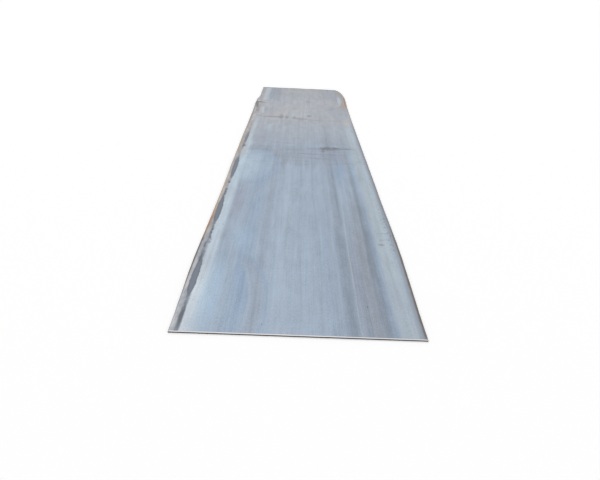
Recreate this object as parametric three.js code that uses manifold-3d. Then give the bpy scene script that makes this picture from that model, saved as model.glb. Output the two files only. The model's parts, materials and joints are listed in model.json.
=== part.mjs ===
// A hot-rolled steel plate, cut to length from the tail of a coil.
//
// Millimetres, +Z up. X runs across the plate and Y along it. The origin is the middle of the
// plate's outer box, on the level surface that the plate lies on. While it is drawn, y is
// counted from the straight sheared end, which ends up at -Y, to the tail end at +Y.
//
// The plate is one solid. Its two long edges are as the mill rolled them: rounded to a blunt
// nose, and never quite straight. Both ends are sheared. The left edge is wavy, the right
// corner of the tail runs out in a long round, and its left corner is creased and steps in.

import * as THREE from 'three';
import * as BufferGeometryUtils from 'three/addons/utils/BufferGeometryUtils.js';
import Module from 'manifold-3d';

// The sheet
const LENGTH = 6000;
const WIDTH = 1500; // across the straight end, nose to nose
const THICKNESS = 10;
const NOSE = 3.5; // how far the rolled edges round out past the flat faces

// The sheared ends: the top corner is drawn over, the cut drops straight, then breaks inward
const ROLLOVER_REACH = 4;
const ROLLOVER_DROP = 1.4;
const BURNISH = 3;
const BREAK_IN = 0.8;

// The right edge, from the straight end to the tail
const RIGHT_SWELL = 12; // bulges out by this much
const RIGHT_SWELL_AT = 900;
const RIGHT_SWELL_REACH = 900;
const RIGHT_TAPER = 30; // then draws in towards the tail
const RIGHT_TAPER_START = 1300;
const RIGHT_TAPER_TAIL = 1350; // ends this far from the tail end
const BULB = 8; // and flares a little before the corner
const BULB_TAIL = 750;
const BULB_REACH = 500;
const CORNER_WIDTH = 145; // the long round corner
const CORNER_LENGTH = 600;

// The left edge
const LEFT_SWELL = 12;
const LEFT_SWELL_AT = 800;
const LEFT_SWELL_REACH = 800;
const LEFT_TAPER = 12;
const LEFT_TAPER_START = 2500;
const LEFT_TAPER_TAIL = 1200;
const STEP_IN = 32; // the edge steps in past the creased corner
const STEP_TAIL = 880;
const STEP_LENGTH = 300;

// Edge waves along the left edge
const WAVE_PITCH = 950;
const WAVE_COUNT = 4;
const WAVE_START = 55;
const WAVE_HEIGHT = 6;
const WAVE_REACH = 96; // how far in from the edge they die out

// The crease at the tail's left corner: the edge climbs to a fold, then drops behind it
const CREASE_TAIL = 1060;
const CREASE_RUN = 470;
const CREASE_DROP = 50;
const CREASE_REACH = 190; // the fold dies out this far in
const CREASE_SLANT = 90; // where it has come this much nearer the straight end
const CREASE_HEIGHT = 13;

// How finely the curves are drawn
const NOSE_STEPS = 6;
const ROLLOVER_STEPS = 4;
const MARGIN_STEPS = 8; // across the wavy margin
const WAVE_STEPS = 10; // along one wave
const BEND_STEPS = 6; // along each taper, step and crease
const CORNER_STEPS = 12;

const TRIM = 20; // the sheet is drawn this much too long at each end, and is sheared to length

const wasm = await Module();
wasm.setup();

const clamp01 = (t) => THREE.MathUtils.clamp(t, 0, 1);

// 0 before a, 1 after b, smooth between
const ramp = (y, a, b) => THREE.MathUtils.smoothstep(y, a, b);

// 1 at the middle, fading to 0 at the reach on either side
const bump = (y, middle, reach) => 0.5 + 0.5 * Math.cos(Math.PI * clamp01(Math.abs(y - middle) / reach));

const fromTail = (distance) => LENGTH - distance;

function rightEdge(y) {
  const swell = RIGHT_SWELL * bump(y, RIGHT_SWELL_AT, RIGHT_SWELL_REACH);
  const taper = RIGHT_TAPER * ramp(y, RIGHT_TAPER_START, fromTail(RIGHT_TAPER_TAIL));
  const bulb = BULB * bump(y, fromTail(BULB_TAIL), BULB_REACH);
  const t = clamp01((y - fromTail(CORNER_LENGTH)) / CORNER_LENGTH);
  const corner = CORNER_WIDTH * (1 - Math.sqrt(1 - t * t));
  return WIDTH / 2 + swell - taper + bulb - corner;
}

function leftEdge(y) {
  const swell = LEFT_SWELL * bump(y, LEFT_SWELL_AT, LEFT_SWELL_REACH);
  const taper = LEFT_TAPER * ramp(y, LEFT_TAPER_START, fromTail(LEFT_TAPER_TAIL));
  const step = STEP_IN * ramp(y, fromTail(STEP_TAIL), fromTail(STEP_TAIL - STEP_LENGTH));
  return -WIDTH / 2 - swell + taper + step;
}

// How far the sheet lies above the floor, at this distance in from the left edge
function lift(inward, y) {
  const turns = (y - WAVE_START) / WAVE_PITCH;
  const across = bump(inward, 0, WAVE_REACH);
  const wave = turns > 0 && turns < WAVE_COUNT ? 0.5 - 0.5 * Math.cos(2 * Math.PI * turns) : 0;

  const foldAt = fromTail(CREASE_TAIL);
  const climb = y <= foldAt ? clamp01((y - foldAt + CREASE_RUN) / CREASE_RUN) : 1;
  const height = y <= foldAt ? climb : clamp01((foldAt + CREASE_DROP - y) / CREASE_DROP);
  const crease = height > 0 ? height * (1 - ramp(inward, 0, CREASE_REACH * climb)) : 0;

  return WAVE_HEIGHT * across * wave + CREASE_HEIGHT * crease;
}

// The fold runs in from the edge on a slant, so the places across the margin slide with it
function slide(inward, y) {
  return -CREASE_SLANT * clamp01(inward / CREASE_REACH) * bump(y, fromTail(CREASE_TAIL), CREASE_RUN);
}

// The places along the plate where the sheet may bend
function stations() {
  const places = [-TRIM, 0, LENGTH, LENGTH + TRIM];
  const run = (from, to, steps) => {
    for (let i = 0; i <= steps; i++) places.push(THREE.MathUtils.lerp(from, to, i / steps));
  };
  run(WAVE_START, WAVE_START + WAVE_COUNT * WAVE_PITCH, WAVE_COUNT * WAVE_STEPS);
  run(RIGHT_TAPER_START, fromTail(RIGHT_TAPER_TAIL), 2 * BEND_STEPS);
  run(fromTail(CREASE_TAIL) - CREASE_RUN, fromTail(CREASE_TAIL), BEND_STEPS);
  places.push(fromTail(CREASE_TAIL) + CREASE_DROP);
  run(fromTail(STEP_TAIL), fromTail(STEP_TAIL - STEP_LENGTH), BEND_STEPS);
  for (let i = 0; i <= CORNER_STEPS; i++) {
    places.push(fromTail(CORNER_LENGTH) + CORNER_LENGTH * Math.sin((Math.PI / 2) * (i / CORNER_STEPS)));
  }
  places.sort((a, b) => a - b);
  return places.filter((y, i) => i === 0 || y - places[i - 1] > 1e-3);
}

// The sheet's section: two flat faces and two rounded noses, with points across the left
// margin where it bends. x is counted from the nose of each edge, so the edges can move apart.
function section() {
  const left = -WIDTH / 2 + NOSE;
  const right = WIDTH / 2 - NOSE;
  const shape = new THREE.Shape();
  const margin = [];
  for (let i = 1; i <= MARGIN_STEPS; i++) margin.push(left + (CREASE_REACH * i) / MARGIN_STEPS);
  shape.moveTo(left, 0);
  for (const x of margin) shape.lineTo(x, 0);
  shape.lineTo(right, 0);
  shape.absellipse(right, THICKNESS / 2, NOSE, THICKNESS / 2, -Math.PI / 2, Math.PI / 2);
  for (const x of margin.reverse()) shape.lineTo(x, THICKNESS);
  shape.lineTo(left, THICKNESS);
  shape.absellipse(left, THICKNESS / 2, NOSE, THICKNESS / 2, Math.PI / 2, (3 * Math.PI) / 2);
  return shape;
}

// The section run along the length, its edges moved to their lines and the sheet bent up
function sheet() {
  const places = stations();
  const steps = places.length - 1;
  const geometry = new THREE.ExtrudeGeometry(section(), {
    depth: steps,
    steps,
    curveSegments: NOSE_STEPS,
    bevelEnabled: false,
  });
  const points = geometry.getAttribute('position');
  for (let i = 0; i < points.count; i++) {
    const across = points.getX(i);
    const up = points.getY(i);
    const y = places[steps - Math.round(points.getZ(i))];
    const along = THREE.MathUtils.clamp(y, 0, LENGTH);
    const onLeft = across < 0;
    const edge = onLeft ? leftEdge(along) + WIDTH / 2 : rightEdge(along) - WIDTH / 2;
    const inward = Math.max(0, across + WIDTH / 2 - NOSE);
    const shift = onLeft ? slide(inward, along) : 0;
    points.setXYZ(i, across + edge, y + shift, up + lift(inward, along));
  }
  return geometry;
}

// What the two shears leave standing: open above and below, cut to their profile at the ends
function shearedLength() {
  const room = 10 * THICKNESS;
  const shape = new THREE.Shape();
  const shoulder = THICKNESS - ROLLOVER_DROP;
  shape.moveTo(BREAK_IN, -room);
  shape.lineTo(LENGTH - BREAK_IN, -room);
  shape.lineTo(LENGTH - BREAK_IN, 0);
  shape.lineTo(LENGTH, shoulder - BURNISH);
  shape.lineTo(LENGTH, shoulder);
  shape.absellipse(LENGTH - ROLLOVER_REACH, shoulder, ROLLOVER_REACH, ROLLOVER_DROP, 0, Math.PI / 2);
  shape.lineTo(LENGTH - ROLLOVER_REACH, room);
  shape.lineTo(ROLLOVER_REACH, room);
  shape.lineTo(ROLLOVER_REACH, THICKNESS);
  shape.absellipse(ROLLOVER_REACH, shoulder, ROLLOVER_REACH, ROLLOVER_DROP, Math.PI / 2, Math.PI);
  shape.lineTo(0, shoulder - BURNISH);
  shape.lineTo(BREAK_IN, 0);
  const wide = 2 * WIDTH;
  const geometry = new THREE.ExtrudeGeometry(shape, {
    depth: wide,
    steps: 1,
    curveSegments: ROLLOVER_STEPS,
    bevelEnabled: false,
  });
  const toPlate = new THREE.Matrix4().makeBasis(
    new THREE.Vector3(0, 1, 0),
    new THREE.Vector3(0, 0, 1),
    new THREE.Vector3(1, 0, 0),
  );
  geometry.applyMatrix4(toPlate);
  geometry.translate(-wide / 2, 0, 0);
  return geometry;
}

function solid(geometry) {
  geometry.deleteAttribute('normal');
  geometry.deleteAttribute('uv');
  const merged = BufferGeometryUtils.mergeVertices(geometry, 1e-3);
  const mesh = new wasm.Mesh({
    numProp: 3,
    vertProperties: new Float32Array(merged.getAttribute('position').array),
    triVerts: new Uint32Array(merged.getIndex().array),
  });
  return new wasm.Manifold(mesh);
}

function toGeometry(body) {
  const mesh = body.getMesh();
  const geometry = new THREE.BufferGeometry();
  geometry.setAttribute('position', new THREE.BufferAttribute(mesh.vertProperties, 3));
  geometry.setIndex(new THREE.BufferAttribute(mesh.triVerts, 1));
  return geometry;
}

function steelPlate() {
  const geometry = toGeometry(solid(sheet()).intersect(solid(shearedLength())));
  geometry.computeBoundingBox();
  const middle = geometry.boundingBox.getCenter(new THREE.Vector3());
  geometry.translate(-middle.x, -middle.y, 0);
  geometry.computeVertexNormals();
  const scale = new THREE.MeshStandardMaterial({ color: 0x9fadc0, roughness: 0.5, metalness: 0.55 });
  const plate = new THREE.Mesh(geometry, scale);
  plate.name = 'plate';
  return plate;
}

const group = new THREE.Group();
group.add(steelPlate());

export default group;
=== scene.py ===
"""Finishes a hot-rolled steel plate, cut from the tail of a coil, and lays it out on a pale floor.

Metres, +Z up. X runs across the plate and Y along it, from the straight sheared end at -Y to the
coil tail at +Y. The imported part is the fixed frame, and the finished plate stands for its node.
"""

import json
import math

import bmesh
import bpy
from bpy.props import FloatProperty, FloatVectorProperty, IntProperty, PointerProperty
from mathutils import Euler, Matrix, Vector


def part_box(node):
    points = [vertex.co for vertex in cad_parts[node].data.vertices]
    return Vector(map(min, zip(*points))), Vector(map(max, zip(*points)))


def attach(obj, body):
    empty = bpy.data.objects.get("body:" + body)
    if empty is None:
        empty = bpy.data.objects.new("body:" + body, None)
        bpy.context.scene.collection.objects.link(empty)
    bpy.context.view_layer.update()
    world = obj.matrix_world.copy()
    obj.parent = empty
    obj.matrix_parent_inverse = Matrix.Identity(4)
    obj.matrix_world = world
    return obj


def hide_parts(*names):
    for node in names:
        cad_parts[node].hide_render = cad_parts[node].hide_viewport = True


bl_info = {
    "name": "Hot-rolled steel plate",
    "version": (1, 0, 0),
    "blender": (4, 5, 0),
    "location": "3D View > Sidebar > Steel plate",
    "description": "Finishes a plate cut from a coil tail and lays it out on a pale floor",
    "category": "Object",
}

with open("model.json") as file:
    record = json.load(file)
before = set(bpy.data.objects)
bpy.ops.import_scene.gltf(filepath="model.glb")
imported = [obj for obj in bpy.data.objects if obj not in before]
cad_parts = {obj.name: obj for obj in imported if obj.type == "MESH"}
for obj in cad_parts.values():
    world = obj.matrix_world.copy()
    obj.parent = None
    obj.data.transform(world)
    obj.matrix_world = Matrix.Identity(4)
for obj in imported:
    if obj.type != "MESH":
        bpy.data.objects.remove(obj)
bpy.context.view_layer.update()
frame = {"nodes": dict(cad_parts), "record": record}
LOW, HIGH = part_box("plate")
HALF_LENGTH = HIGH.y
HALF_WIDTH = HIGH.x
THICKNESS = next(m["pos_m"][2] for m in frame["record"]["mounts"] if m["name"] == "top_face")
TORN_BELOW = 0.62 * THICKNESS  # how high up a sheared end is torn
ROLLOVER = 0.0045  # how near to a sheared end the drawn-over corner begins
END_BAY = 0.0556  # how near to a sheared end the first wave begins
FLOOR_GLOW = 0.25  # lifts the floor nearly to the white of the sky


def shade(red, green, blue):
    """A colour on the 0 to 255 scale of a paint chart, as the linear values that Blender takes."""
    parts = [c / 255 for c in (red, green, blue)]
    return [c / 12.92 if c <= 0.04045 else ((c + 0.055) / 1.055) ** 2.4 for c in parts]


def colour(name, description, red, green, blue):
    """A colour property with this default."""
    return FloatVectorProperty(
        name=name,
        description=description,
        default=shade(red, green, blue),
        subtype="COLOR",
        size=3,
        min=0,
        max=1,
    )


# ---------------------------------------------------------------- what a user would change


class PlateRelief(bpy.types.PropertyGroup):
    """Relief too fine for the plate's own drawing."""

    cuts: IntProperty(
        name="Cuts between stations",
        description="How many rows are cut between two of the stations along the plate",
        default=6,
        min=1,
        max=20,
    )
    edge_wander: FloatProperty(
        name="Edge wander",
        description="How far a rolled edge wanders in from its line",
        default=0.0024,
        min=0,
        max=0.01,
        unit="LENGTH",
    )
    tear_depth: FloatProperty(
        name="Tear depth",
        description="How deep the shear tears the lower part of an end",
        default=0.0009,
        min=0,
        max=0.003,
        unit="LENGTH",
    )
    tear_pitch: FloatProperty(
        name="Tear pitch",
        description="How wide the tears of a sheared end are",
        default=0.012,
        min=0.001,
        max=0.05,
        unit="LENGTH",
    )


class PlateColours(bpy.types.PropertyGroup):
    """The colours of the mill scale and of the cut and rolled edges."""

    scale_blue: colour("Scale blue", "The plate's usual blue-grey oxide", 160, 175, 192)
    pale_blue: colour("Pale blue", "The pale band beside the left margin", 191, 205, 216)
    deep_blue: colour("Deep blue", "Bluer oxide inside a water stain", 146, 166, 190)
    azure: colour("Azure", "Clear, bluer oxide between the pale side and the stain", 166, 191, 213)
    lilac: colour("Lilac", "The warmer bands of the oxide", 150, 160, 175)
    mauve: colour("Mauve", "Purplish oxide beside the pale band", 153, 160, 177)
    warm: colour("Warm", "Brownish-grey oxide between the streaks", 147, 154, 165)
    # Dark marks from rolls, rubbing and standing water; the same colour is laid as painted shade
    # along the crease and the tail edge.
    smut_and_shade: colour("Smut", "Dark marks from rolls, rubbing and standing water", 96, 98, 104)
    streak: colour("Streak", "The darkest cooling streaks", 136, 148, 163)
    pale_green: colour("Pale green", "The pale band beside the right edge", 172, 184, 193)
    tail_grey: colour("Tail grey", "The warm grey of the coil's outer wrap", 173, 175, 180)
    margin_grey: colour("Margin grey", "The bare-looking grey of the left margin", 176, 178, 181)
    # Used for the dark lenses and thread along the edge waves.
    slate: colour("Slate", "Scale broken up by the edge waves", 118, 126, 138)
    edge_dark: colour("Edge dark", "The dark line along a rolled edge", 112, 106, 104)
    margin_brown: colour("Margin brown", "Brownish stains by the edges", 158, 152, 150)
    rust: colour("Rust", "Rust along the edges", 158, 120, 90)
    tan: colour("Tan", "Thin, pale rust", 186, 166, 150)
    bloom: colour("Bloom", "A breath of rust over grey scale", 204, 190, 178)
    # Also a painted highlight, along the near end's drawn-over corner and on the palest oxide near
    # that end.
    rim_and_highlight: colour("Rim", "Bright steel where the shear drew the corner over", 226, 224, 225)
    # The colours of the cut ends are darkened past the steel's own tone, as painted shade.
    tear_in_shade: colour("Tear", "The torn lower part of a sheared end", 42, 39, 37)
    burnish_in_shade: colour("Burnish", "The rubbed upper part of a sheared end", 58, 57, 59)
    underside: colour("Underside", "The scale of the lower face", 136, 141, 149)


class StageLook(bpy.types.PropertyGroup):
    """The floor, the lamps and the camera."""

    floor: colour("Floor", "The colour of the floor", 250, 250, 250)
    sun: FloatProperty(
        name="Key lamp",
        description="Strength of the soft lamp beyond the tail",
        default=0.80,
        min=0,
        max=10,
    )
    sky: FloatProperty(
        name="Fill",
        description="Strength of the light from all round",
        default=0.55,
        min=0,
        max=5,
    )
    lens: FloatProperty(
        name="Lens",
        description="Focal length of the camera",
        default=24.1055,
        min=10,
        max=200,
        unit="CAMERA",
    )


# ---------------------------------------------------------------- writing a finish


class Num:
    """A number that varies over a surface. Arithmetic on it adds Math nodes."""

    def __init__(self, finish, socket):
        self.finish = finish
        self.socket = socket

    def math(self, operation, *values):
        """What a Math node makes of these values."""
        return self.finish.math(operation, *values)

    def __add__(self, other):
        return self.math("ADD", self, other)

    def __sub__(self, other):
        return self.math("SUBTRACT", self, other)

    def __rsub__(self, other):
        return self.math("SUBTRACT", other, self)

    def __mul__(self, other):
        return self.math("MULTIPLY", self, other)

    def __abs__(self):
        return self.math("ABSOLUTE", self)

    __radd__ = __add__
    __rmul__ = __mul__


class Shading:
    """The node tree of a material or of the world, while it is being written."""

    def __init__(self, owner):
        owner.use_nodes = True
        self.tree = owner.node_tree
        self.tree.nodes.clear()

    def node(self, kind, settings=None, inputs=None):
        """Adds a node: its settings first, then the values or links of its sockets."""
        made = self.tree.nodes.new(kind)
        for name, value in (settings or {}).items():
            setattr(made, name, value)
        for key, value in (inputs or {}).items():
            self.feed(made.inputs[key], value)
        return made

    def feed(self, socket, value):
        """Gives an input its value: a link where that varies, or else a plain one."""
        if isinstance(value, Num):
            value = value.socket
        if isinstance(value, bpy.types.NodeSocket):
            self.tree.links.new(value, socket)
        elif socket.type == "RGBA":
            socket.default_value = (*value, 1)
        else:
            socket.default_value = value

    def math(self, operation, *values):
        """Adds a Math node, with one value for each of its inputs."""
        made = self.node("ShaderNodeMath", {"operation": operation}, dict(enumerate(values)))
        return Num(self, made.outputs[0])

    def seen(self):
        """1 for what the camera sees, straight or in metal or glass, 0 for light on the object."""
        path = self.node("ShaderNodeLightPath").outputs
        straight = self.math("MAXIMUM", path["Is Camera Ray"], path["Is Glossy Ray"])
        return self.math("MAXIMUM", straight, path["Is Transmission Ray"])


class Finish(Shading):
    """A material that is being written, on the piece's own coordinates."""

    def __init__(self, name):
        self.material = bpy.data.materials.new(name)
        super().__init__(self.material)
        self.shader = self.node("ShaderNodeBsdfPrincipled", {}, {"Specular IOR Level": 0.3})
        self.node("ShaderNodeOutputMaterial", {}, {"Surface": self.shader.outputs[0]})
        self.place = self.node("ShaderNodeTexCoord").outputs["Object"]
        parts = self.node("ShaderNodeSeparateXYZ", {}, {0: self.place}).outputs
        self.x, self.y, self.z = (Num(self, part) for part in parts)
        self.along = self.y + HALF_LENGTH
        self.face = self.flat(self.x, self.along)
        self.next_seed = 0

    def fade(self, value, start, end):
        """0 at the start, 1 at the end, and smooth between. It stays in range without a clamp,
        and one clamp for each would leave the render too little room for so many masks."""
        settings = {"interpolation_type": "SMOOTHSTEP", "clamp": False}
        inputs = {"Value": value, "From Min": start, "From Max": end}
        return Num(self, self.node("ShaderNodeMapRange", settings, inputs).outputs[0])

    def between(self, value, start, end, soft):
        """1 from start to end, fading out over this much on both sides."""
        rise = self.fade(value, start - soft, start)
        return rise * self.fade(value, end + soft, end)

    def band(self, value, middle, half, core=0.0):
        """1 at the middle, or over its core, fading out at the half width."""
        return self.fade(abs(value - middle), half, half * core)

    def vector(self, operation, *values, take="Vector"):
        """Adds a Vector Math node, and takes this one of its outputs."""
        made = self.node("ShaderNodeVectorMath", {"operation": operation}, dict(enumerate(values)))
        return made.outputs[take]

    def flat(self, x, along):
        """A place on the flat face, as one vector."""
        return self.node("ShaderNodeCombineXYZ", {}, {0: x, 1: along}).outputs[0]

    def ring(self, place, middle, reach):
        """How far out a place is from the middle of an oval: 1 is on its line."""
        scale = (1 / reach[0], 1 / reach[1], 0)
        shift = (-middle[0] / reach[0], -middle[1] / reach[1], 0)
        away = self.vector("MULTIPLY_ADD", place, scale, shift)
        return Num(self, self.vector("LENGTH", away, take="Value"))

    def spot(self, place, middle, reach, core=0.0):
        """1 at the middle of an oval, or over its core, and 0 outside it."""
        return self.fade(self.ring(place, middle, reach), 1.0, core)

    def from_line(self, place, start, end):
        """How far a place is from a straight line between two points."""
        run = Vector((end[0] - start[0], end[1] - start[1], 0))
        offset = self.vector("SUBTRACT", place, (*start, 0))
        ahead = self.vector("DOT_PRODUCT", offset, run / run.length_squared, take="Value")
        ahead = self.math("MINIMUM", self.math("MAXIMUM", ahead, 0.0), 1.0)
        away = self.vector("SUBTRACT", offset, self.scaled(run, ahead))
        return Num(self, self.vector("LENGTH", away, take="Value"))

    def stroke(self, place, start, end, half, core):
        """1 within the core of a straight line between two points, fading out at the half width."""
        return self.fade(self.from_line(place, start, end), half, core)

    def noise(self, across, down, detail=2.0, rough=0.5, up=None):
        """Cloudy noise, about 0 to 1, with this many blotches to a metre each way."""
        self.next_seed += 1
        scale = (across, down, across if up is None else up)
        shift = (3.7 * self.next_seed, 5.3 * self.next_seed, 1.9 * self.next_seed)
        spread = self.node(
            "ShaderNodeMapping", {}, {"Vector": self.place, "Scale": scale, "Location": shift}
        )
        inputs = {"Vector": spread.outputs[0], "Scale": 1.0, "Detail": detail, "Roughness": rough}
        return Num(self, self.node("ShaderNodeTexNoise", {}, inputs).outputs[0])

    def waver(self, size, across, down, detail=2.0, rough=0.5):
        """Cloudy noise to both sides of 0, about half this size each way."""
        return size * (self.noise(across, down, detail, rough) - 0.5)

    def paint(self, under, over, amount):
        """One colour laid over another, by this amount."""
        made = self.node("ShaderNodeMix", {"data_type": "RGBA"}, {0: amount, 6: under, 7: over})
        return made.outputs[2]

    def scaled(self, vector, level):
        """A colour made lighter or darker, or a vector made longer or shorter, by this factor."""
        inputs = {0: vector, "Scale": level}
        return self.node("ShaderNodeVectorMath", {"operation": "SCALE"}, inputs).outputs[0]

    def facing_up(self):
        """1 on faces that look up, 0 on those that look down."""
        normal = self.node("ShaderNodeNewGeometry").outputs["Normal"]
        up = self.node("ShaderNodeSeparateXYZ", {}, {0: normal}).outputs[2]
        return self.fade(Num(self, up), -0.1, 0.1)

    def finished(self, base, rough, metal, height, depth):
        """Sets the shader from the colour, roughness, metal and relief, which is this deep."""
        relief = {"Strength": 1.0, "Distance": depth, "Height": height}
        bump = self.node("ShaderNodeBump", {}, relief)
        self.feed(self.shader.inputs["Base Color"], base)
        self.feed(self.shader.inputs["Roughness"], rough)
        self.feed(self.shader.inputs["Metallic"], metal)
        self.feed(self.shader.inputs["Normal"], bump.outputs[0])
        return self.material


# ---------------------------------------------------------------- the finishes
#
# In these, f is the finish being written, c holds the plate's colours, and base is the colour so
# far. A place is in metres: across from the middle, and along from the straight sheared end.


def cooling_bands(f, c, x):
    """Bands along the plate that the cooling water left. x wanders a little with them."""
    along = f.along
    patchy = 0.45 + 1.1 * f.noise(6.0, 0.9, 3.0, 0.6)
    base = f.paint(c.scale_blue, c.lilac, f.fade(along, 1.0, 0.3) * f.fade(x, -0.1, 0.5) * 0.3)
    # middle, half width, core, colour, amount, where it is gone and where it starts to fade
    bands = [
        (-0.395, 0.09, 0.2, c.deep_blue, 0.55, 3.1, 1.9),
        (-0.27, 0.06, 0.1, c.lilac, 0.55, 3.4, 2.4),
        (-0.11, 0.08, 0.1, c.pale_blue, 0.12, 3.0, 2.4),
        (-0.015, 0.03, 0.1, c.lilac, 0.16, 3.4, 2.6),
        (0.215, 0.045, 0.1, c.lilac, 0.45, 3.2, 1.0),
        (0.20, 0.04, 0.2, c.deep_blue, 0.32, 1.6, 0.9),
        (0.31, 0.06, 0.0, c.streak, 0.85, 7.0, 2.9),
        (0.33, 0.02, 0.1, c.streak, 0.30, 3.2, 2.6),
        (0.342, 0.022, 0.3, c.streak, 0.55, 1.2, 0.7),
        (0.43, 0.10, 0.6, c.lilac, 0.80, 2.1, 0.7),
        (0.42, 0.035, 0.2, c.streak, 0.45, 0.9, 0.3),
        (0.46, 0.06, 0.3, c.warm, 0.50, 2.4, 0.9),
        (0.525, 0.04, 0.1, c.streak, 0.65, 3.0, 1.9),
        (0.518, 0.032, 0.2, c.smut_and_shade, 0.20, 2.6, 1.6),
        (0.525, 0.04, 0.1, c.streak, 0.55, 4.9, 3.9),
        (0.550, 0.040, 0.1, c.streak, 0.80, 2.2, 1.2),
        (0.570, 0.03, 0.2, c.deep_blue, 0.45, 2.2, 1.2),
        (0.645, 0.085, 0.4, c.pale_green, 0.75, 4.5, 3.7),
        (0.685, 0.040, 0.2, c.pale_blue, 0.30, 3.2, 2.7),
    ]
    for middle, half, core, tint, amount, end, start in bands:
        mask = f.band(x, middle, half, core) * f.fade(along, end, start)
        base = f.paint(base, tint, mask * patchy * amount)
    # two bluer lengths among the bands, past their darkest part
    place = f.flat(x, along)
    bluer = f.spot(place, (0.40, 2.55), (0.11, 0.75), 0.3)
    base = f.paint(base, c.deep_blue, bluer * patchy * 0.82)
    clearer = f.spot(place, (0.555, 2.55), (0.06, 1.2), 0.3)
    base = f.paint(base, c.azure, clearer * 0.22)
    # a thin light line between the dark bands, and the line where a spray ended
    light_line = f.band(x, 0.362, 0.009, 0.1) * f.between(along, 0.3, 1.5, 0.5)
    base = f.paint(base, c.pale_blue, light_line * patchy * 0.30)
    spray_line = f.band(x, -0.592, 0.022, 0.1) * f.between(along, 0.85, 1.9, 0.3)
    return f.paint(base, c.lilac, spray_line * 0.4)


def pale_side(f, c, base, x, bulge):
    """The pale oxide beside the left margin: wide near the cut end, and a bulge further on. A
    painted highlight lies on its palest part near the cut end.
    """
    along = f.along
    wide = 0.082 + 0.043 * f.band(along, 0.1, 0.8, 0.3)
    level = 1.0 - 0.1 * f.fade(along, 0.3, 0.8) + 0.2 * f.fade(along, 2.8, 3.1)
    level = level - 0.18 * f.between(along, 1.9, 2.5, 0.3)
    blush = f.fade(x + 0.66, wide, 0.28 * wide) * level * f.fade(along, 4.3, 3.9)
    base = f.paint(base, c.pale_blue, blush)
    ragged = f.waver(0.3, 5.0, 3.0, 4.0, 0.6)
    place = f.flat(x, along)
    lobe = f.fade(f.ring(place, (-0.54, 2.40), (0.17, 0.46)) + ragged, 1.0, 0.3)
    base = f.paint(base, c.pale_blue, lobe * 0.44)
    base = f.paint(base, c.azure, f.fade(bulge, 0.97, 0.60) * 0.16)
    # the darker line round the bulge, and the purplish scale past it and before it
    line = f.fade(bulge, 0.66, 0.96) * f.fade(bulge, 1.05, 0.98) * f.fade(x, -0.60, -0.42)
    base = f.paint(base, c.deep_blue, line * 0.62)
    outside = f.fade(bulge, 0.98, 1.06)
    past = f.spot(place, (-0.51, 3.25), (0.10, 0.55), 0.3) * outside
    cloudy = 0.4 + 1.2 * f.noise(7.0, 3.0, 4.0)
    before = f.spot(place, (-0.545, 1.62), (0.075, 0.50), 0.3) * cloudy * outside
    # a painted highlight on the palest of it near the cut end, the bluest of it, and two dusty
    # places
    palest_highlight = f.spot(place, (-0.675, 0.30), (0.050, 0.80), 0.4)
    base = f.paint(base, c.rim_and_highlight, palest_highlight * 0.26)
    clear = 0.50 * f.spot(place, (-0.560, 0.34), (0.085, 0.62), 0.3)
    clear = clear + 0.50 * f.spot(place, (-0.45, 1.02), (0.10, 0.24), 0.2)
    base = f.paint(base, c.azure, clear)
    dusty = 0.16 * f.spot(place, (-0.595, 1.05), (0.08, 0.15), 0.2)
    dusty = dusty + 0.10 * f.spot(place, (-0.550, 0.76), (0.06, 0.22), 0.2)
    base = f.paint(base, c.smut_and_shade, dusty)
    return f.paint(base, c.mauve, past * 0.85 + before * 0.75)


def water_stain(f, c, base):
    """A pool that dried near the cut end: blue inside, with a pale tide line and a fainter one."""
    x = f.x + f.waver(0.05, 4.0, 2.6, 4.0, 0.6)
    place = f.flat(x, f.along)
    inner = f.ring(place, (-0.50, 0.26), (0.185, 0.46))
    outer = f.ring(place, (-0.50, 0.25), (0.30, 0.56))
    side = f.fade(x, -0.47, -0.37) * (0.5 + f.noise(9.0, 5.0, 3.0))
    deep = f.between(inner, 0.62, 0.88, 0.22) * f.fade(f.along, 0.06, 0.35)
    base = f.paint(base, c.deep_blue, deep * side * 0.75)
    between_lines = f.between(inner, 1.1, 1.3, 0.16) * f.fade(outer, 1.05, 0.95)
    base = f.paint(base, c.lilac, between_lines * side * 0.5)
    base = f.paint(base, c.deep_blue, f.band(outer, 0.98, 0.07) * side * 0.6)
    return f.paint(base, c.pale_green, f.band(inner, 1.0, 0.09) * side * 0.35)


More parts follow.
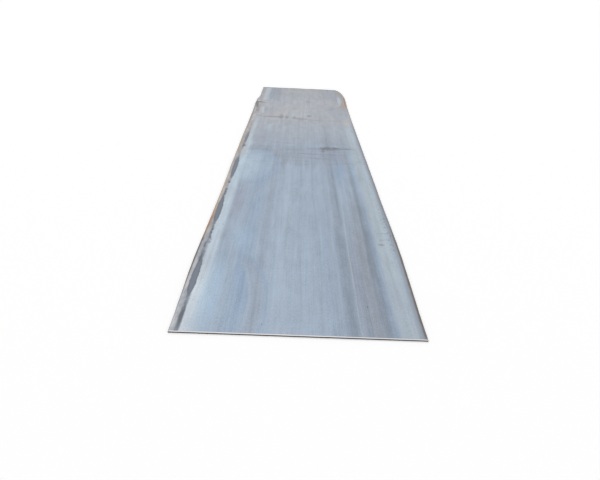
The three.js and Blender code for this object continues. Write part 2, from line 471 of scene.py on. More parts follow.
def wrap_end(f, c, base, mottle, bulge):
    """The coil's outer wrap, warmer and plainer, beyond a duller stretch of uneven tongues."""
    along = f.along
    cloud = f.waver(0.5, 1.8, 1.2, 4.0, 0.6)
    tongues = along + cloud + f.waver(0.9, 26.0, 0.8, 4.0, 0.7)
    inside = 0.35 + 0.65 * f.fade(f.x, 0.60, 0.50)
    base = f.paint(base, c.tail_grey, f.fade(tongues, 2.9, 3.5) * inside * 0.5)
    base = f.paint(base, c.pale_green, f.spot(f.face, (0.62, 3.05), (0.07, 1.3), 0.3) * 0.4)
    base = f.paint(base, c.pale_blue, f.spot(f.face, (0.65, 3.50), (0.10, 0.70), 0.3) * 0.4)
    wrap = 0.6 * tongues + 0.4 * along + 0.4 * inside
    base = f.paint(base, c.tail_grey, f.fade(wrap, 4.05, 4.75) * 0.88)
    dull = f.fade(tongues, 2.30, 2.62) * (1 - 0.69 * f.fade(along, 2.95, 3.1))
    dull = dull * f.fade(tongues, 3.8, 3.3) * f.fade(bulge, 0.94, 1.02)
    dull = dull * f.fade(f.x, 0.60, 0.48) * f.fade(f.x, -0.66, -0.57)
    base = f.paint(base, c.lilac, dull * 0.78)
    # smoky patches on the outer wrap, and two light ones
    smoke = 1.25 * f.spot(f.face, (-0.47, 5.55), (0.17, 0.68), 0.4)
    smoke = smoke + f.fade(f.x, 0.22, 0.42) * (0.3 + 0.35 * f.fade(along, 5.0, 5.5))
    smoke = smoke + 0.30 * f.fade(along, 5.0, 5.5)
    smoke = smoke + 0.60 * f.spot(f.face, (-0.50, 4.45), (0.15, 0.45), 0.3)
    smoke = smoke + 0.35 * f.spot(f.face, (0.48, 4.50), (0.12, 0.55), 0.3)
    smoke = smoke * f.fade(along, 4.0, 4.5) * (0.3 + 1.4 * mottle)
    base = f.paint(base, c.warm, smoke * 0.55)
    light = 0.22 * f.spot(f.face, (-0.07, 4.40), (0.24, 0.30), 0.3)
    light = light + 0.32 * f.spot(f.face, (-0.44, 3.75), (0.04, 0.36), 0.3)
    return f.paint(base, c.pale_blue, light)


def rub_and_shade(f, c, base, place, broken, start, end, half, amount):
    """A dark, broken-up mark along a line from start to end. It draws rubbed and scraped marks, and
    also the painted shade along the tail edge.
    """
    mark = f.stroke(place, start, end, half, 0.1 * half)
    return f.paint(base, c.smut_and_shade, mark * broken * amount)


def smudge(f, c, base, blots, middle, reach, amount, left_out):
    """A dirty blotch with a torn outline. The more is left out, the smaller it is."""
    inside = f.spot(f.face, middle, reach)
    torn = f.fade(inside + blots, left_out, left_out + 0.45)
    return f.paint(base, c.smut_and_shade, torn * f.fade(inside, 0.0, 0.25) * amount)


def coil_breaks(f, c, base):
    """Marks across the plate, where the strip was bent as it came off the coil, and painted shade
    along the tail edge.
    """
    along = f.along
    # faint chatter across the plate, in two belts
    belts = f.between(along, 2.60, 3.25, 0.2) + 0.6 * f.between(along, 4.0, 4.7, 0.25)
    chatter = f.noise(2.6, 26.0, 4.0, 0.6)
    base = f.paint(base, c.smut_and_shade, f.fade(chatter, 0.50, 0.66) * belts * 0.13)
    x = f.x + f.waver(0.03, 14.0, 8.0, 3.0)
    place = f.flat(x, along + f.waver(0.02, 20.0, 4.0, 3.0))
    broken = 0.3 + 0.7 * f.fade(f.noise(18.0, 22.0, 4.0, 0.65), 0.35, 0.60)
    # start, end, half width, amount
    marks = [
        ((0.40, 3.02), (0.61, 3.015), 0.020, 0.55),
        ((0.08, 2.985), (0.26, 2.99), 0.022, 0.26),
        ((0.00, 2.815), (0.40, 2.81), 0.018, 0.34),
        ((-0.38, 3.16), (0.02, 3.12), 0.016, 0.22),
        ((0.10, 2.69), (0.29, 2.675), 0.016, 0.26),
        ((-0.56, 4.200), (-0.36, 4.205), 0.030, 0.16),
        ((-0.12, 4.150), (0.22, 4.105), 0.026, 0.34),
        ((0.22, 4.105), (0.55, 4.110), 0.020, 0.16),
        ((0.485, 3.012), (0.55, 3.012), 0.026, 0.45),
        ((0.63, 1.136), (0.71, 1.14), 0.016, 0.34),
        ((0.63, 1.04), (0.70, 1.046), 0.015, 0.32),
        ((0.62, 0.97), (0.645, 0.972), 0.022, 0.44),
        # the last three: painted shade along the tail edge, where the gap beyond the end lies in
        # shadow
        ((-0.70, 6.000), (-0.61, 6.000), 0.055, 1.20),
        ((-0.31, 6.000), (-0.04, 6.000), 0.055, 1.00),
        ((0.15, 6.000), (0.45, 6.000), 0.055, 1.10),
    ]
    for start, end, half, amount in marks:
        base = rub_and_shade(f, c, base, place, broken, start, end, half, amount)
    blots = f.waver(1.8, 22.0, 15.0, 5.0, 0.65)
    # middle, reach, amount, how much is left out
    blotches = [
        ((0.345, 3.005), (0.175, 0.090), 0.40, 0.02),
        ((0.300, 3.005), (0.110, 0.070), 0.42, 0.30),
        ((0.400, 3.020), (0.090, 0.050), 0.36, 0.20),
        ((0.255, 2.930), (0.050, 0.090), 0.36, 0.25),
        ((-0.42, 4.21), (0.24, 0.06), 0.30, 0.20),
        ((-0.30, 4.23), (0.07, 0.15), 0.40, 0.14),
        ((-0.22, 4.22), (0.05, 0.13), 0.36, 0.20),
        ((-0.11, 4.21), (0.06, 0.11), 0.34, 0.22),
        ((-0.03, 4.17), (0.18, 0.06), 0.24, 0.30),
        ((0.105, 4.31), (0.05, 0.07), 0.42, 0.15),
        ((0.09, 5.09), (0.06, 0.08), 0.30, 0.15),
        ((0.44, 4.75), (0.16, 0.30), 0.16, 0.45),
    ]
    for middle, reach, amount, left_out in blotches:
        base = smudge(f, c, base, blots, middle, reach, amount, left_out)
    # a breath of rust in the far belt
    patchy = f.fade(f.noise(15.0, 8.0, 5.0, 0.7), 0.36, 0.62)
    tints = 0.20 * f.spot(f.face, (-0.38, 4.33), (0.26, 0.17), 0.2)
    tints = tints + 0.60 * f.spot(f.face, (0.63, 4.05), (0.09, 0.24), 0.2)
    tints = tints + 0.55 * f.spot(f.face, (0.70, 4.30), (0.045, 0.36), 0.2)
    base = f.paint(base, c.bloom, tints * (0.25 + 0.75 * patchy))
    # a pale thread where the far belt begins
    thread = f.stroke(place, (-0.66, 4.135), (-0.35, 4.135), 0.012, 0.002)
    return f.paint(base, c.bloom, thread * broken * 0.6)


def specks(f, c, base):
    """Single pits and drips."""
    # middle, reach, amount
    spots = [
        ((0.429, 0.262), (0.007, 0.010), 0.75),
        ((-0.219, 0.08), (0.007, 0.013), 0.35),
        ((-0.634, 1.19), (0.009, 0.009), 0.55),
        ((0.63, 3.00), (0.022, 0.030), 0.22),
        ((0.64, 2.63), (0.030, 0.018), 0.16),
    ]
    for middle, reach, amount in spots:
        base = f.paint(base, c.smut_and_shade, f.spot(f.face, middle, reach, 0.3) * amount)
    pits = f.fade(f.noise(60.0, 28.0, 4.0, 0.75), 0.66, 0.76)
    return f.paint(base, c.smut_and_shade, pits * 0.35)


def wave_lenses(f, c, base, x, place, bare):
    """Slate-grey lenses on the edge waves, one on each, joined by a broken thread."""
    along = f.along
    # of each lens of slate: across, along, half length, half width, amount
    lenses = (
        (-0.706, 0.51, 0.25, 0.026, 1.0),
        (-0.705, 1.43, 0.27, 0.027, 1.0),
        (-0.700, 2.36, 0.32, 0.027, 1.0),
        (-0.706, 3.29, 0.23, 0.020, 0.75),
    )
    for across, middle, half_length, half_width, amount in lenses:
        lens = f.spot(place, (across, middle), (half_width, half_length))
        base = f.paint(base, c.slate, f.fade(lens, 0.0, 0.12) * amount)
        outline = f.fade(lens, 0.0, 0.12) * f.fade(lens, 0.60, 0.20)
        base = f.paint(base, c.smut_and_shade, outline * (0.55 - 0.25 * bare) * amount)
    # a broken slate thread that joins the lenses, with a gap or a dark node here and there
    crumbs = f.fade(f.noise(55.0, 22.0, 4.0, 0.7) + 0.10 * f.band(along, 0.15, 0.25), 0.44, 0.54)
    thread = f.band(x, -0.704, 0.018, 0.3) * f.fade(along, 4.0, 3.3)
    # start, end, how softly each gap begins, how bare it is
    gaps = (
        (2.72, 2.90, 0.06, 0.75),
        (1.86, 1.95, 0.03, 0.75),
        (0.82, 0.90, 0.03, 0.60),
    )
    for start, end, soft, amount in gaps:
        thread = thread * (1 - amount * f.between(along, start, end, soft))
    base = f.paint(base, c.slate, thread * (0.35 + 0.65 * crumbs) * 0.85)
    # middle, reach
    nodes = (
        ((-0.692, 0.94), (0.015, 0.060)),
        ((-0.703, 1.985), (0.020, 0.035)),
        ((-0.694, 3.00), (0.030, 0.065)),
        ((-0.703, 0.13), (0.018, 0.14)),
    )
    for middle, reach in nodes:
        mark = f.spot(place, middle, reach, 0.2) * (0.25 + 0.75 * crumbs)
        base = f.paint(base, c.smut_and_shade, mark * 0.85)
    # dark strokes from lens to lens: start, end, half width
    tears = (
        ((-0.697, 0.98), (-0.708, 1.20), 0.014),
        ((-0.716, 0.92), (-0.715, 0.68), 0.013),
        ((-0.711, 1.64), (-0.707, 1.84), 0.014),
    )
    for start, end, half in tears:
        mark = f.stroke(place, start, end, half, 0.2 * half)
        base = f.paint(base, c.smut_and_shade, mark * (0.45 + 0.55 * crumbs) * 0.75)
    # a nick in the edge between the first two, and the duller scale round it
    duller = f.spot(f.face, (-0.735, 0.985), (0.040, 0.11), 0.3)
    base = f.paint(base, c.warm, duller * 0.6)
    nick = f.spot(f.face, (-0.751, 0.962), (0.013, 0.040), 0.4)
    return f.paint(base, c.smut_and_shade, nick * 0.95)


def left_margin(f, c, base):
    """The left margin: bare-looking grey, and on it the slate lenses, stains and rust."""
    along = f.along
    ragged = f.waver(0.020, 30.0, 12.0, 4.0, 0.65)
    edge = -HALF_WIDTH + 0.014 * f.fade(along, 0.95, 2.2) + 0.02 * f.fade(along, 2.2, 4.6)
    drift = 0.025 * f.fade(along, 2.4, 3.6) + 0.010 * f.fade(along, 4.0, 4.6)
    x = f.x + ragged - drift
    place = f.flat(x, along)
    bare = f.fade(f.noise(22.0, 8.0, 5.0, 0.7), 0.35, 0.62)
    pale = 0.09 * f.fade(along, 0.35, 0.1) + 0.12 * f.between(along, 3.7, 5.1, 0.3)
    browned = 0.5 * f.fade(along, 0.95, 1.15) + 0.5 * f.fade(along, 2.2, 3.0)
    worn = f.paint(c.warm, c.margin_brown, browned)
    veil = f.spot(f.face, (-0.668, 2.90), (0.050, 0.36), 0.4)
    base = f.paint(base, c.tail_grey, veil * 0.6)
    grey = f.scaled(f.paint(worn, c.margin_grey, bare), 1 + pale)
    base = f.paint(base, grey, f.fade(x, -0.688, -0.704) * (1 - 0.5 * f.fade(along, 5.0, 5.4)))
    # a pale strip outside the first lens
    strip = f.band(f.x - edge, 0.024, 0.014, 0.3) * f.fade(along, 1.05, 0.9) * (0.35 + 0.65 * bare)
    base = f.paint(base, c.rim_and_highlight, strip * 0.22)
    base = wave_lenses(f, c, base, x, place, bare)
    # brown stains past the last lens, and on to the tail
    stain = f.spot(place, (-0.715, 3.92), (0.045, 0.32), 0.2) * f.fade(bare, 0.9, 0.3)
    base = f.paint(base, c.margin_brown, stain * 0.8)
    trail = f.stroke(place, (-0.70, 4.35), (-0.70, 5.9), 0.045, 0.015)
    base = f.paint(base, c.margin_brown, trail * (0.35 + 0.5 * f.fade(bare, 0.8, 0.2)))
    # the outer line, and rust that has crept in from the edge
    outer = f.fade(f.x - edge, 0.019, 0.009) * (0.40 + 0.55 * f.fade(along, 1.1, 0.9))
    base = f.paint(base, c.edge_dark, outer)
    creep = 0.019 + 0.005 * f.between(along, 1.25, 1.8, 0.2) - 0.006 * f.fade(along, 1.9, 2.4)
    creep = creep + f.waver(0.04, 10.0, 5.0, 4.0, 0.65)
    rusty = f.fade(f.x - edge - creep, 0.008, -0.004) * f.between(along, 1.05, 3.7, 0.15)
    tint = f.paint(c.rust, f.paint(c.tan, c.bloom, 0.5 * bare), f.fade(along, 1.1, 1.7))
    return f.paint(base, tint, rusty * (0.85 - 0.30 * f.fade(along, 1.8, 3.4)))


def right_edge(f, c, base):
    """The right edge: a duller strip with a dark line, and rust round the long corner."""
    along = f.along
    ragged = f.waver(0.014, 26.0, 12.0, 4.0, 0.65)
    line = 0.75 + 0.012 * f.band(along, 0.9, 0.9) - 0.030 * f.fade(along, 1.3, 4.65)
    gap = line - f.x + ragged
    base = f.paint(base, c.warm, f.fade(gap, 0.056, 0.014) * (0.95 - 0.7 * f.fade(along, 3.6, 4.4)))
    crumbs = f.fade(f.noise(60.0, 30.0, 4.0, 0.7), 0.52, 0.62)
    speckled = f.band(gap, 0.045, 0.030, 0.3) * f.between(along, 1.0, 1.45, 0.2)
    base = f.paint(base, c.smut_and_shade, crumbs * speckled * 0.45)
    dark = 0.45 + 0.55 * f.between(along, 0.18, 1.0, 0.35) - 0.22 * f.fade(along, 3.6, 4.4)
    base = f.paint(base, c.edge_dark, f.fade(gap, 0.024, 0.010) * dark)
    # the corner: a pale patch inside it, then grey, then rust along its edge
    cloudy = f.fade(f.noise(16.0, 7.0, 4.0, 0.7), 0.30, 0.62)
    patch = f.spot(f.face, (0.613, 5.28), (0.045, 0.32), 0.2) * (0.35 + 0.65 * cloudy)
    base = f.paint(base, c.pale_blue, patch * 0.7)
    place = f.flat(f.x + ragged, along)
    outside = f.fade(f.ring(place, (0.43, 5.32), (0.26, 0.66)), 0.84, 0.96)
    grey = outside * f.fade(along, 4.6, 4.9) * f.fade(f.x, 0.50, 0.62)
    base = f.paint(base, c.margin_brown, grey * 0.85)
    way = f.from_line(place, (0.690, 4.80), (0.708, 5.46)) + 1.2 * abs(ragged)
    ends = f.between(along, 5.0, 5.35, 0.22)
    base = f.paint(base, c.tan, f.fade(way, 0.024, 0.008) * (0.35 + 0.45 * ends))
    base = f.paint(base, c.rust, f.fade(way, 0.016, 0.004) * ends * 0.65)
    return f.paint(base, c.edge_dark, f.fade(way, 0.013, 0.003) * ends * 0.55)


def creased_corner(f, c, base):
    """The creased corner: painted shadow along the crease line, and painted shade in the dip before
    it.
    """
    x = f.x + f.waver(0.02, 14.0, 5.0, 3.0)
    place = f.flat(x, f.along + f.waver(0.03, 12.0, 5.0, 3.0))
    broken = 0.70 + 0.6 * f.noise(16.0, 9.0, 4.0, 0.6)
    half = 0.012 + 0.034 * f.fade(f.x, -0.55, -0.68)
    # painted shadow along the crease line
    fold_shade = f.stroke(place, (-0.740, 4.985), (-0.57, 4.945), half, 0.2 * half)
    base = f.paint(base, c.smut_and_shade, fold_shade * broken * (0.45 + 0.50 * f.fade(f.x, -0.56, -0.64)))
    # painted shade on the slope before the crease, which faces away from the light
    dip_shade = f.stroke(place, (-0.715, 4.95), (-0.665, 4.48), 0.038, 0.004)
    base = f.paint(base, c.smut_and_shade, dip_shade * broken * (0.25 + 0.55 * f.fade(f.along, 4.55, 4.8)))
    # rust behind the fold, and a gleam on the slopes before and behind it
    behind = f.stroke(place, (-0.70, 5.04), (-0.58, 5.01), 0.026, 0.006)
    base = f.paint(base, c.bloom, behind * 0.35)
    gleam = f.stroke(place, (-0.580, 4.38), (-0.595, 4.70), 0.030, 0.004)
    base = f.paint(base, c.pale_blue, gleam * broken * 0.5)
    gleam = f.stroke(place, (-0.610, 5.15), (-0.588, 5.92), 0.080, 0.005)
    return f.paint(base, c.pale_blue, gleam * (0.30 + 0.20 * broken))


def lower_face(f, c):
    """The lower face, which lay on other plates: duller, scuffed and spotted with rust."""
    cloud = f.noise(2.4, 0.8, 4.0, 0.6)
    base = f.scaled(c.underside, 1 + 0.22 * (cloud - 0.5) + f.waver(0.14, 40.0, 0.4, 3.0))
    rusty = f.fade(f.noise(4.0, 2.2, 4.0, 0.62), 0.56, 0.70)
    base = f.paint(base, c.rust, rusty * 0.35)
    scuffs = f.fade(f.noise(3.0, 55.0, 3.0, 0.6), 0.60, 0.70)
    return f.paint(base, c.pale_green, scuffs * 0.22)


def mill_scale(c):
    """The oxide of the flat faces."""
    f = Finish("mill scale")
    streaks = f.noise(14.0, 0.28, 6.0, 0.78)
    fine = f.noise(62.0, 1.6, 4.0, 0.7)
    mottle = f.noise(14.0, 5.0, 6.0, 0.72)
    grain = f.noise(140.0, 60.0, 3.0, 0.7)
    cloud = f.noise(2.2, 1.4, 4.0, 0.6)
    x = f.x + f.waver(0.05, 1.1, 0.7, 3.0) + f.waver(0.02, 9.0, 1.6, 3.0)
    base = cooling_bands(f, c, x)
    # how far out a place is from the middle of the pale bulge
    bulge = f.ring(f.flat(x, f.along), (-0.51, 2.43), (0.28, 0.47)) + 0.06 * (mottle - 0.5)
    base = pale_side(f, c, base, x, bulge)
    base = water_stain(f, c, base)
    base = wrap_end(f, c, base, mottle, bulge)
    # the oxide turns from blue to lilac in clouds, and is streaked along the rolling direction
    base = f.paint(base, c.lilac, f.fade(cloud + 0.5 * mottle, 0.72, 0.98) * 0.45)
    far = f.fade(f.along, 2.9, 4.3)
    base = f.paint(base, c.warm, f.fade(fine, 0.54, 0.68) * 0.22)
    level = 1 + 0.46 * (streaks - 0.5) + 0.42 * (fine - 0.5) + 0.22 * (cloud - 0.5)
    level = level + (0.54 + 0.22 * far) * (mottle - 0.5) + 0.60 * (grain - 0.5)
    level = level + 0.022 * f.fade(f.along, 4.05, 4.25) - 0.070 * f.fade(f.along, 5.0, 5.6)
    base = f.scaled(base, level)
    blotch = f.noise(17.0, 8.0, 5.0, 0.75)
    base = f.paint(base, c.bloom, f.fade(blotch, 0.51, 0.66) * far * 0.14)
    base = f.paint(base, c.mauve, f.fade(blotch, 0.49, 0.36) * far * 0.30)
    base = coil_breaks(f, c, base)
    base = specks(f, c, base)
    base = right_edge(f, c, base)
    base = left_margin(f, c, base)
    base = creased_corner(f, c, base)
    # the corner that the shear drew over, where the scale has cracked off to bare steel; along the
    # near end it is also a painted highlight
    tail = 2 * HALF_LENGTH
    cracked_and_highlight = f.fade(f.along, 0.0085, 0.006)
    cracked_and_highlight = cracked_and_highlight + 0.15 * f.fade(f.along, tail - 0.009, tail - 0.006)
    base = f.paint(base, c.rim_and_highlight, cracked_and_highlight)
    base = f.paint(lower_face(f, c), base, f.facing_up())
    rough = 0.54 + 0.14 * (streaks - 0.5) + 0.16 * (cloud - 0.5) + 0.12 * (mottle - 0.5)
    return f.finished(base, rough, metal=0.3, height=grain * 0.6 + fine * 0.4, depth=0.0003)


def rolled_edge(c):
    """The blunt nose the mill left on the long edges: dark scale, rubbed and rusting."""
    f = Finish("rolled edge")
    patches = f.fade(f.noise(9.0, 6.0, 4.0, 0.6, up=40.0), 0.45, 0.62)
    base = f.paint(c.edge_dark, c.rust, patches * 0.7)
    near_right = f.fade(f.x, 0.0, 0.1) * f.fade(f.along, 3.2, 1.8)
    base = f.paint(base, c.tear_in_shade, near_right * 0.55)
    grain = f.noise(300.0, 90.0, 3.0, up=300.0)
    base = f.scaled(base, 0.85 + 0.3 * grain)
    return f.finished(base, 0.6 + 0.2 * patches, metal=0.25, height=grain, depth=0.0006)


def sheared_end(c):
    """A cut end: rubbed smooth at the top, torn below, with upright score marks. Its colours are
    darkened as painted shade.
    """
    f = Finish("sheared end")
    torn = f.fade(f.z, TORN_BELOW, TORN_BELOW - 0.0012)
    score = f.noise(700.0, 700.0, 2.0, up=60.0)
    # painted shade: both colours are darker than the bare steel
    base = f.paint(c.burnish_in_shade, c.tear_in_shade, torn)
    rust = f.fade(f.noise(30.0, 30.0, 3.0, 0.6, up=90.0), 0.55, 0.75)
    base = f.paint(base, c.rust, rust * 0.45)
    base = f.scaled(base, 0.75 + 0.5 * score)
    scored = score * (0.4 + 0.6 * torn)
    return f.finished(base, 0.5 + 0.2 * torn, metal=0.4, height=scored, depth=0.0008)


def studio_floor(pale):
    """A pale floor that metal sees as the same pale tone."""
    f = Finish("studio floor")
    f.finished(pale, rough=0.9, metal=0.0, height=0.5, depth=0.0)
    f.feed(f.shader.inputs["Emission Color"], (1, 1, 1))
    f.feed(f.shader.inputs["Emission Strength"], FLOOR_GLOW * f.seen())
    return f.material


def studio_sky(world, level):
    """Even light from all round at this level, which the camera sees as white."""
    sky = Shading(world)
    strength = level + (1 - level) * sky.seen()
    inputs = {"Color": (1, 1, 1), "Strength": strength}
    light = sky.node("ShaderNodeBackground", {}, inputs)
    sky.node("ShaderNodeOutputWorld", {}, {"Surface": light.outputs[0]})


# ---------------------------------------------------------------- shaping

SAME_PLACE = 0.00001  # points nearer than this are one
SAME_FLAT = math.radians(0.05)  # faces this nearly level with each other are one
WARPED_PAIR = math.radians(20)  # two triangles of the warped margin bent less are one quad
SOFT_BEND = math.radians(35)  # a sharper bend than this is shaded as an edge

# how finely the plate is cut by each sheared end
END_ROWS = 6
FIRST_ROW = 0.0115  # how near to the end it is
ROW_PITCH = 0.0075
COLUMNS_EACH_WAY = 7  # from the middle of the plate
COLUMN_PITCH = 0.09
WIDE = 0.03  # an edge of the end that is wider than this is cut finer
WIDE_CUTS = 19
TALL = 0.0028  # and so is one that is taller than this
TALL_CUTS = 2

# what a face or an edge belongs to: how much it points a way, or how long it is
LEVEL = 0.9999  # a flat face: up or down by more than this
BENT = 0.95  # one in the bent margin: up or down by more than this
MARGIN = -0.5  # which lies to the left of this
LEAN = 0.14  # a rolled edge: outwards by more than this
UPRIGHT = 0.8  # the blunt nose of a rolled edge: up or down by less than this
ENDWARDS = 0.75  # a sheared end: along by more than this
ENDWARDS_POINT = 0.6  # a point of a sheared end: along by more than this
LONG = 0.02  # an edge that runs along the plate: longer than this

BORDER = 0.003  # the border between a flat face and its rounded edges
ROUND_CORNER = 0.6  # the length of the tail's round corner
CORNER_FADE = 0.2  # how far before the corner the wander dies out
WANDER_PITCH = 0.09
TEAR_STRETCH = 12  # how many times taller than wide a tear is


def only(piece):
    """Makes this the selected, active object, and nothing else."""
    bpy.ops.object.select_all(action="DESELECT")
    piece.select_set(True)
    bpy.context.view_layer.objects.active = piece


def choose(piece, kind, test):
    """In edit mode, selects the vertices, edges or faces that pass the test, and nothing else."""
    modes = {"verts": "VERT", "edges": "EDGE", "faces": "FACE"}
    bpy.ops.mesh.select_mode(type=modes[kind])
    bpy.ops.mesh.select_all(action="DESELECT")
    shape = bmesh.from_edit_mesh(piece.data)
    for element in getattr(shape, kind):
        if test(element):
            element.select_set(True)
    shape.select_flush_mode()
    bmesh.update_edit_mesh(piece.data)


def spans(edge):
    """How far an edge reaches across, along and up."""
    a, b = (v.co for v in edge.verts)
    return abs(b.x - a.x), abs(b.y - a.y), abs(b.z - a.z)


def runs_along(edge):
    """Whether an edge is a long one that runs along the plate."""
    across, along, up = spans(edge)
    return along > LONG and along > 3 * across


def by_an_end(part, reach):
    """Whether all of a face or an edge is this near to a sheared end."""
    return all(abs(v.co.y) > HALF_LENGTH - reach for v in part.verts)


def lies_flat(face, side):
    """Whether a face belongs to the upper (1) or lower (-1) side, and not to a rounded edge."""
    up = side * face.normal.z
    in_margin = face.calc_center_median().x < MARGIN and not by_an_end(face, ROLLOVER)
    return up > LEVEL or (in_margin and up > BENT and abs(face.normal.x) < LEAN)


def on_rolled_edge(face):
    """Whether a face stands upright, as those of the blunt nose do."""
    return abs(face.normal.z) < UPRIGHT


def on_sheared_end(face):
    """Whether a face belongs to a cut end, below the drawn-over corner."""
    return abs(face.normal.y) > ENDWARDS and by_an_end(face, ROLLOVER)


def slice_bay(piece, reach, plane_co, plane_no):
    """Cuts the faces this near to a sheared end along a plane."""
    choose(piece, "faces", lambda p: by_an_end(p, reach))
    bpy.ops.mesh.bisect(plane_co=plane_co, plane_no=plane_no)


def level_border(piece):
    """After an inset, brings the inner line of the new border level with its outer line."""
    shape = bmesh.from_edit_mesh(piece.data)
    for inner in (v for v in shape.verts if v.select):
        outside = [v for v in (e.other_vert(inner) for e in inner.link_edges) if not v.select]
        if outside:
            inner.co.z = outside[0].co.z
    bmesh.update_edit_mesh(piece.data)


def cut_finer(piece, relief):
    """Cuts rows along the plate, and columns across both sheared ends."""
    # loose triangles are merged flat by flat, and those of the warped margin in pairs
    choose(piece, "faces", lambda p: by_an_end(p, END_BAY))
    bpy.ops.mesh.dissolve_limited(angle_limit=SAME_FLAT)
    bpy.ops.mesh.select_all(action="SELECT")
    bpy.ops.mesh.tris_convert_to_quads(face_threshold=WARPED_PAIR, shape_threshold=math.pi)
    # even rows and columns by the sheared ends, and more rows between the stations
    for row in range(END_ROWS):
        reach = FIRST_ROW + ROW_PITCH * row
        for side in (-1, 1):
            slice_bay(piece, END_BAY, (0, side * (HALF_LENGTH - reach), 0), (0, 1, 0))
    for column in range(-COLUMNS_EACH_WAY, COLUMNS_EACH_WAY + 1):
        slice_bay(piece, FIRST_ROW + 0.0001, (COLUMN_PITCH * column, 0, 0), (1, 0, 0))
    choose(piece, "edges", lambda e: runs_along(e) and not by_an_end(e, END_BAY))
    bpy.ops.mesh.subdivide(number_cuts=relief.cuts)
    choose(piece, "edges", lambda e: by_an_end(e, ROLLOVER) and spans(e)[0] > WIDE)
    bpy.ops.mesh.subdivide(number_cuts=WIDE_CUTS)
    choose(piece, "edges", lambda e: by_an_end(e, ROLLOVER) and spans(e)[2] > TALL)
    bpy.ops.mesh.subdivide(number_cuts=TALL_CUTS)
    # a narrow border keeps the wide faces flat where they meet the rounded edges
    for side in (-1, 1):
        choose(piece, "faces", lambda p: lies_flat(p, side))
        bpy.ops.mesh.inset(thickness=BORDER)
        level_border(piece)


def grouped(piece, name, weights):
    """A vertex group from the weight of each vertex in it, by number."""
    group = piece.vertex_groups.new(name=name)
    for index, weight in weights.items():
        group.add([index], weight, "REPLACE")


def push_in(piece, group, direction, depth, pitch, stretch=1.0):
    """Pushes a group of vertices along an axis by up to this depth, in a cloudy pattern whose
    clouds are this far apart, and longer along and up by the stretch."""
    bpy.ops.object.select_all(action="DESELECT")
    bpy.ops.object.empty_add()
    ruler = bpy.context.active_object
    ruler.scale = (1, stretch, stretch)
    bpy.context.view_layer.update()
    clouds = bpy.data.textures.new(group, "CLOUDS")
    clouds.noise_scale = pitch
    clouds.noise_depth = 3
    only(piece)
    bpy.ops.object.modifier_add(type="DISPLACE")
    push = piece.modifiers[-1]
    push.texture = clouds
    push.texture_coords = "OBJECT"
    push.texture_coords_object = ruler
    push.vertex_group = group
    push.direction = direction
    push.strength = depth
    push.mid_level = 0
    bpy.ops.object.modifier_apply(modifier=push.name)
    bpy.data.objects.remove(ruler)


def wear_edges(piece, relief):
    """Lets the rolled edges wander inwards, and tears the lower part of both sheared ends."""
    points = piece.data.vertices
    for name, side in (("left edge", -1), ("right edge", 1)):
        leaning = (p.vertices for p in piece.data.polygons if side * p.normal.x > LEAN)
        weights = dict.fromkeys(set().union(*leaning), 1)
        if side > 0:
            # the long round corner stays as it is
            for index in weights:
                ahead = HALF_LENGTH - ROUND_CORNER - points[index].co.y
                weights[index] = min(max(ahead / CORNER_FADE, 0), 1)
        grouped(piece, name, weights)
        push_in(piece, name, "X", -side * relief.edge_wander, WANDER_PITCH)
    for name, side in (("near end", -1), ("tail end", 1)):
        on_end = (v for v in points if side * v.normal.y > ENDWARDS_POINT)
        grouped(piece, name, {v.index: 1 for v in on_end if v.co.z < TORN_BELOW})
        push_in(piece, name, "Y", -side * relief.tear_depth, relief.tear_pitch, TEAR_STRETCH)


# ---------------------------------------------------------------- what builds the scene

FLOOR_SIZE = 160
LAMP_TURN = (math.radians(-28), math.radians(-8), 0)  # shines down from beyond the tail
LAMP_SPREAD = math.radians(45)
CAMERA_PLACE = (-0.05284, -4.61667, 1.73421)
CAMERA_DOWN = math.radians(33.39906)  # how far below level it looks
CAMERA_TURN = math.radians(-1.13933)  # how far to the left of straight along the plate
CAMERA_ROLL = math.radians(2.88622)
SENSOR_WIDTH = 36
FARTHEST_SEEN = 500


class STEEL_PLATE_OT_rolled_plate(bpy.types.Operator):
    """Builds the finished plate: one finely cut piece, with worn edges and mill scale"""

    bl_idname = "steel_plate.rolled_plate"
    bl_label = "Rolled plate"

    def execute(self, context):
        relief = context.scene.plate_relief
        colours = context.scene.plate_colours
        piece = bpy.data.objects.new("rolled_plate", frame["nodes"]["plate"].data.copy())
        context.scene.collection.objects.link(piece)
        piece.data.materials.clear()
        for finish in (mill_scale(colours), rolled_edge(colours), sheared_end(colours)):
            piece.data.materials.append(finish)
        only(piece)
        bpy.ops.object.mode_set(mode="EDIT")
        bpy.ops.mesh.select_all(action="SELECT")
        bpy.ops.mesh.remove_doubles(threshold=SAME_PLACE)
        cut_finer(piece, relief)
        for slot, test in enumerate((on_rolled_edge, on_sheared_end), start=1):
            choose(piece, "faces", test)
            piece.active_material_index = slot
            bpy.ops.object.material_slot_assign()
        bpy.ops.object.mode_set(mode="OBJECT")
        wear_edges(piece, relief)
        bpy.ops.object.shade_smooth_by_angle(angle=SOFT_BEND)
        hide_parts("plate")
        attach(piece, "root")
        return {"FINISHED"}


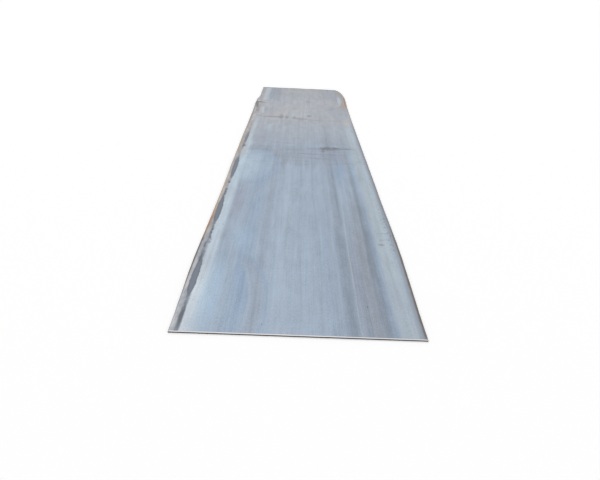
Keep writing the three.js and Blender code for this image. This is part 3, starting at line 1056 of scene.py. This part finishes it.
class STEEL_PLATE_OT_stage(bpy.types.Operator):
    """Sets the floor, the soft lamps and the camera"""

    bl_idname = "steel_plate.stage"
    bl_label = "Stage"

    def execute(self, context):
        look = context.scene.stage_look
        scene = context.scene
        bpy.ops.object.select_all(action="DESELECT")
        bpy.ops.mesh.primitive_plane_add(size=FLOOR_SIZE, location=(0, 0, 0))
        floor = context.active_object
        floor.name = "floor"
        floor.data.materials.append(studio_floor(look.floor))

        bpy.ops.object.light_add(type="SUN", rotation=LAMP_TURN)
        lamp = context.active_object.data
        lamp.energy = look.sun
        lamp.angle = LAMP_SPREAD

        scene.world = bpy.data.worlds.new("studio")
        studio_sky(scene.world, look.sky)

        bpy.ops.object.camera_add(location=CAMERA_PLACE)
        camera = context.active_object
        aim = Euler((math.pi / 2 - CAMERA_DOWN, 0, CAMERA_TURN)).to_matrix()
        roll = Matrix.Rotation(CAMERA_ROLL, 3, "Z")
        camera.rotation_euler = (aim @ roll).to_euler()
        camera.data.sensor_width = SENSOR_WIDTH
        camera.data.lens = look.lens
        camera.data.clip_end = FARTHEST_SEEN
        scene.camera = camera
        scene.view_settings.view_transform = "Standard"
        return {"FINISHED"}


class STEEL_PLATE_PT_sidebar(bpy.types.Panel):
    """Lists what builds the plate and its stage"""

    bl_idname = "STEEL_PLATE_PT_sidebar"
    bl_label = "Steel plate"
    bl_space_type = "VIEW_3D"
    bl_region_type = "UI"
    bl_category = "Steel plate"

    def draw(self, context):
        for operator, settings in (
            (STEEL_PLATE_OT_rolled_plate, ("plate_relief", "plate_colours")),
            (STEEL_PLATE_OT_stage, ("stage_look",)),
        ):
            box = self.layout.box()
            box.operator(operator.bl_idname)
            for group in (getattr(context.scene, name) for name in settings):
                for name in group.__annotations__:
                    box.prop(group, name)


CLASSES = (
    PlateRelief,
    PlateColours,
    StageLook,
    STEEL_PLATE_OT_rolled_plate,
    STEEL_PLATE_OT_stage,
    STEEL_PLATE_PT_sidebar,
)
SETTINGS = {"plate_relief": PlateRelief, "plate_colours": PlateColours, "stage_look": StageLook}


def register():
    for made in CLASSES:
        bpy.utils.register_class(made)
    for name, group in SETTINGS.items():
        setattr(bpy.types.Scene, name, PointerProperty(type=group))


def unregister():
    for name in SETTINGS:
        delattr(bpy.types.Scene, name)
    for made in reversed(CLASSES):
        bpy.utils.unregister_class(made)


def main():
    register()
    bpy.ops.steel_plate.rolled_plate()
    bpy.ops.steel_plate.stage()


if __name__ == "__main__":
    main()
